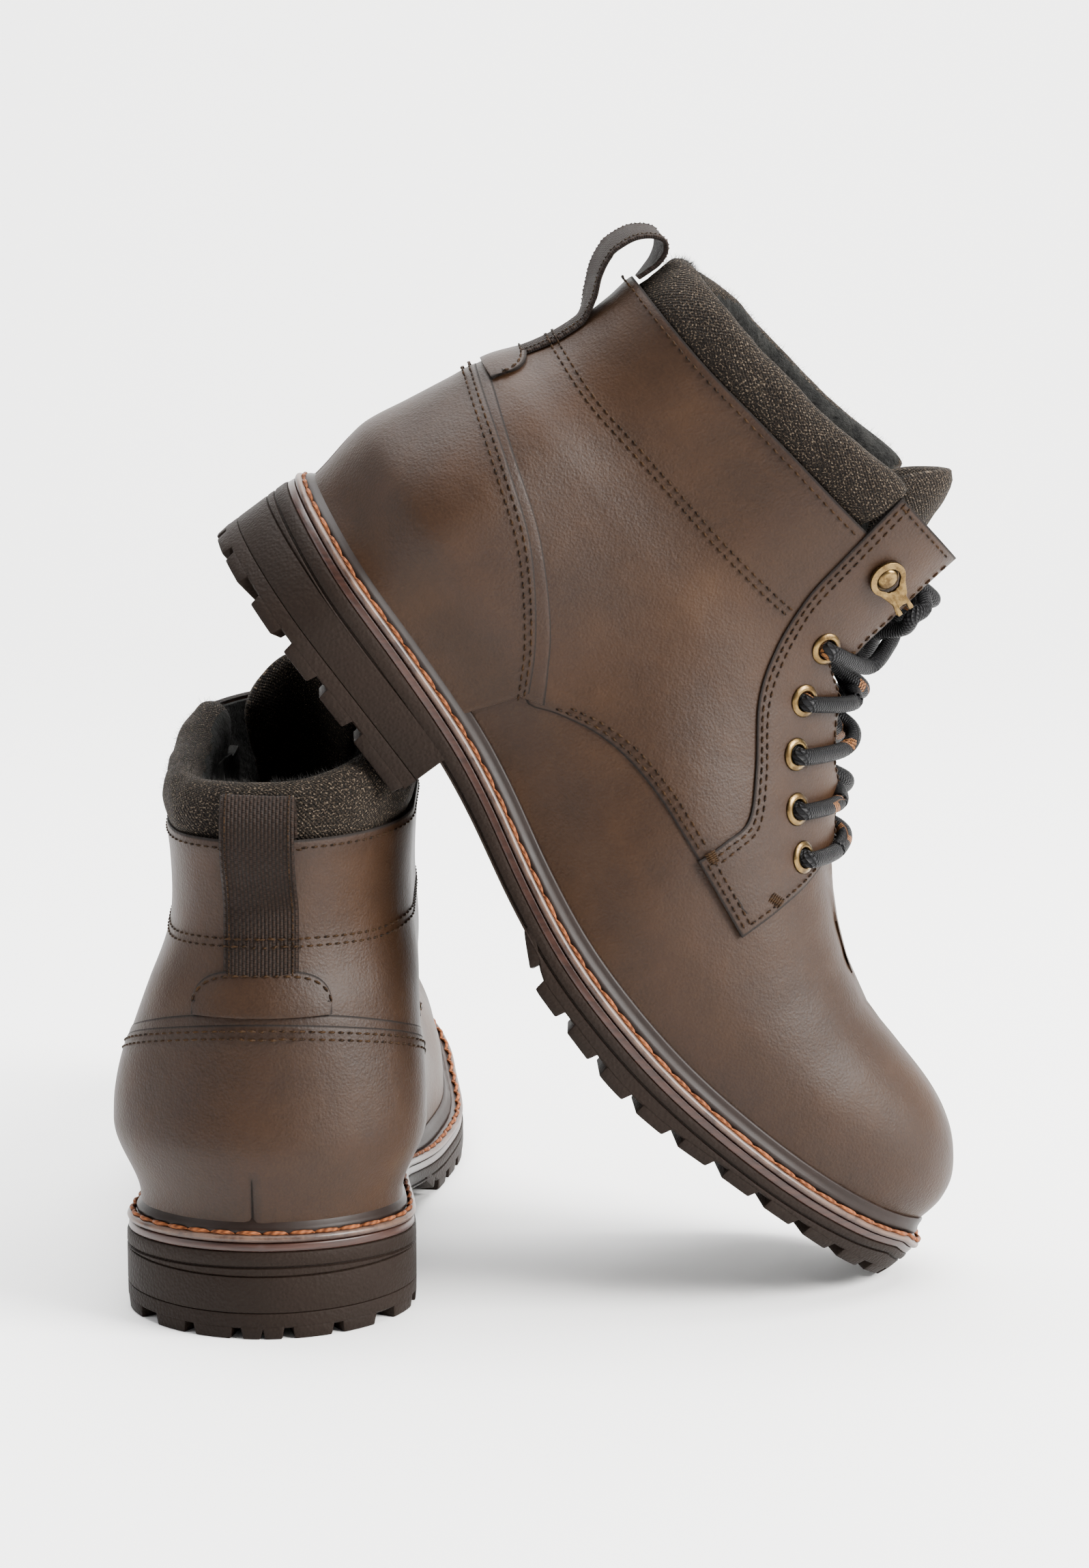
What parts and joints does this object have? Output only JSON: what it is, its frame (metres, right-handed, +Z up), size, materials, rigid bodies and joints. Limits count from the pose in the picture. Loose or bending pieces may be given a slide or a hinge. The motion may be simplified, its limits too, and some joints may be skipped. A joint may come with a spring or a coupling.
{
  "type": "pair of lace-up ankle boots",
  "caption": "Pair of lace-up leather ankle boots with a fleece lining, padded collar, welted lugged sole and pull loop; one stands, one leans on it.",
  "frame": {"origin": "on the ground under the middle of the standing left boot's heel", "axes": "+Y along the left boot towards its toe, +X to the side on which the right boot leans, +Z up"},
  "size_m": [0.2626, 0.3069, 0.3225],
  "materials": {
    "upper_leather": "matte waxed nubuck with burnished patches",
    "trim_leather": "matte waxed nubuck, a little darker",
    "rubber_sole": "fine moulded grain",
    "midsole_edge": "stained and polished edge",
    "welt_leather": "stained, worn along its edge",
    "rand_leather": "polished bead",
    "welt_thread": "waxed lock stitch",
    "spring_steel": "plain",
    "cork_filler": "cork",
    "board": "fibre board",
    "stiffener": "thermoplastic stiffener",
    "fleece": "charcoal wool fleece",
    "lining_cloth": "brushed lining",
    "tweed": "dark tweed with pale flecks",
    "webbing": "ribbed woven tape",
    "antique_brass": "antique, satin",
    "lace_cord": "round braid with copper flecks"
  },
  "bodies": {
    "left_boot": {"left_outsole": "rubber_sole", "left_heel_block": "rubber_sole", "left_top_lift": "rubber_sole", "left_midsole": "midsole_edge", "left_welt": "welt_leather", "left_welt_stitch": "welt_thread", "left_rand": "rand_leather", "left_shank": "spring_steel", "left_filler": "cork_filler", "left_insole_board": "board", "left_footbed": "fleece", "left_toe_puff": "stiffener", "left_counter_stiffener": "stiffener", "left_vamp": "upper_leather", "left_quarter_outer": "upper_leather", "left_quarter_inner": "upper_leather", "left_heel_counter": "upper_leather", "left_counter_trim": "trim_leather", "left_heel_tab": "trim_leather", "left_back_strap": "webbing", "left_eyestay_outer": "trim_leather", "left_eyestay_inner": "trim_leather", "left_eyelets": "antique_brass", "left_lace_hooks": "antique_brass", "left_collar": "tweed", "left_vamp_lining": "lining_cloth", "left_shaft_lining": "fleece", "left_lace": "lace_cord"},
    "left_tongue": {"left_tongue": "tweed"},
    "left_pull_loop": {"left_pull_loop": "webbing"},
    "right_boot": {"right_outsole": "rubber_sole", "right_heel_block": "rubber_sole", "right_top_lift": "rubber_sole", "right_midsole": "midsole_edge", "right_welt": "welt_leather", "right_welt_stitch": "welt_thread", "right_rand": "rand_leather", "right_shank": "spring_steel", "right_filler": "cork_filler", "right_insole_board": "board", "right_footbed": "fleece", "right_toe_puff": "stiffener", "right_counter_stiffener": "stiffener", "right_vamp": "upper_leather", "right_quarter_outer": "upper_leather", "right_quarter_inner": "upper_leather", "right_heel_counter": "upper_leather", "right_counter_trim": "trim_leather", "right_heel_tab": "trim_leather", "right_back_strap": "webbing", "right_eyestay_outer": "trim_leather", "right_eyestay_inner": "trim_leather", "right_eyelets": "antique_brass", "right_lace_hooks": "antique_brass", "right_collar": "tweed", "right_vamp_lining": "lining_cloth", "right_shaft_lining": "fleece", "right_lace": "lace_cord"},
    "right_tongue": {"right_tongue": "tweed"},
    "right_pull_loop": {"right_pull_loop": "webbing"}
  },
  "joints": [
    {"name": "right_boot_lift", "type": "slide", "parent": "left_boot", "child": "right_boot", "axis": [0, 0, 1], "range_m": [0, 0.25]},
    {"name": "left_tongue_flex", "type": "hinge", "parent": "left_boot", "child": "left_tongue", "pos_m": [0.003, 0.142, 0.086], "axis": [1, 0, 0], "range_deg": [0, 5], "stiffness_Nm_per_rad": 1.2},
    {"name": "right_tongue_flex", "type": "hinge", "parent": "right_boot", "child": "right_tongue", "pos_m": [0.16343, 0.027, 0.13304], "axis": [0, -1, 0], "range_deg": [0, 5], "stiffness_Nm_per_rad": 1.2},
    {"name": "left_loop_flex", "type": "hinge", "parent": "left_boot", "child": "left_pull_loop", "pos_m": [0, -0.0428, 0.1483], "axis": [1, 0, 0], "range_deg": [-8, 25], "stiffness_Nm_per_rad": 0.01},
    {"name": "right_loop_flex", "type": "hinge", "parent": "right_boot", "child": "right_pull_loop", "pos_m": [0.10366, 0.024, 0.31868], "axis": [0, -1, 0], "range_deg": [-8, 25], "stiffness_Nm_per_rad": 0.01}
  ]
}
